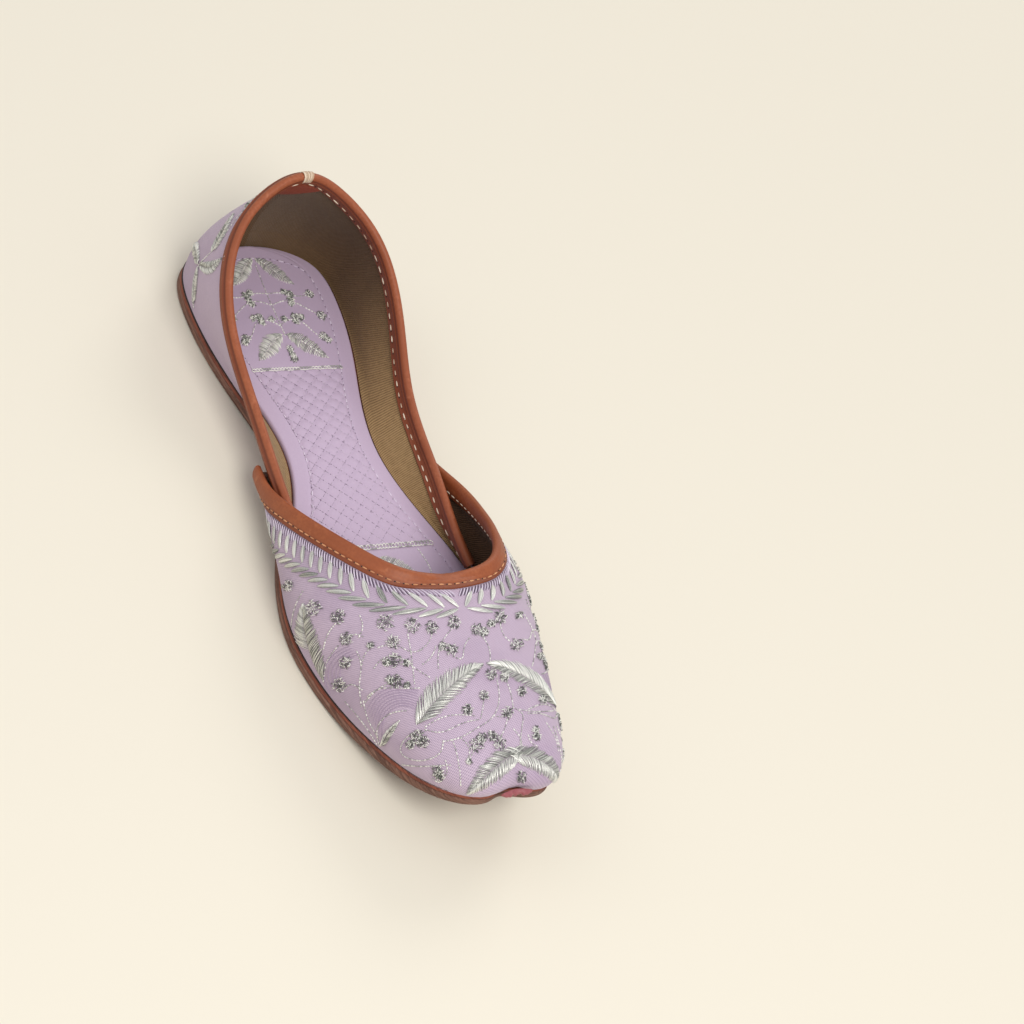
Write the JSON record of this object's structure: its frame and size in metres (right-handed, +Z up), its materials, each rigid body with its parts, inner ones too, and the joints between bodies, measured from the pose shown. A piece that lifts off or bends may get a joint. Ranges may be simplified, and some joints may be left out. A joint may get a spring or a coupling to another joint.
{
  "type": "mojari shoe",
  "caption": "Flat slip-on mojari with a low sole, an open throat, an embroidered upper, leather-bound edges and a quilted insole; fits either foot.",
  "frame": {"origin": "middle of the shoe's length and width, on the floor under its sole", "axes": "+X towards the toe, +Z up, the XZ plane halves the shoe"},
  "size_m": [0.2526, 0.085, 0.0606],
  "materials": {
    "sole_leather": "cut leather edge, rough",
    "midsole_leather": "cut leather edge, dark red-brown",
    "insole_fabric": "soft matt lining with quilted stitching",
    "upper_fabric": "fine twill with silver thread",
    "collar_leather": "semi-matt grain",
    "vamp_edge_leather": "semi-matt grain",
    "patch_leather": "semi-matt grain",
    "fold_leather": "semi-matt"
  },
  "bodies": {
    "root": {"outsole": "sole_leather", "midsole": "midsole_leather", "insole": "insole_fabric", "upper": "upper_fabric", "collar_binding": "collar_leather", "vamp_binding": "vamp_edge_leather", "heel_patch": "patch_leather", "toe_fold": "fold_leather"}
  },
  "joints": []
}
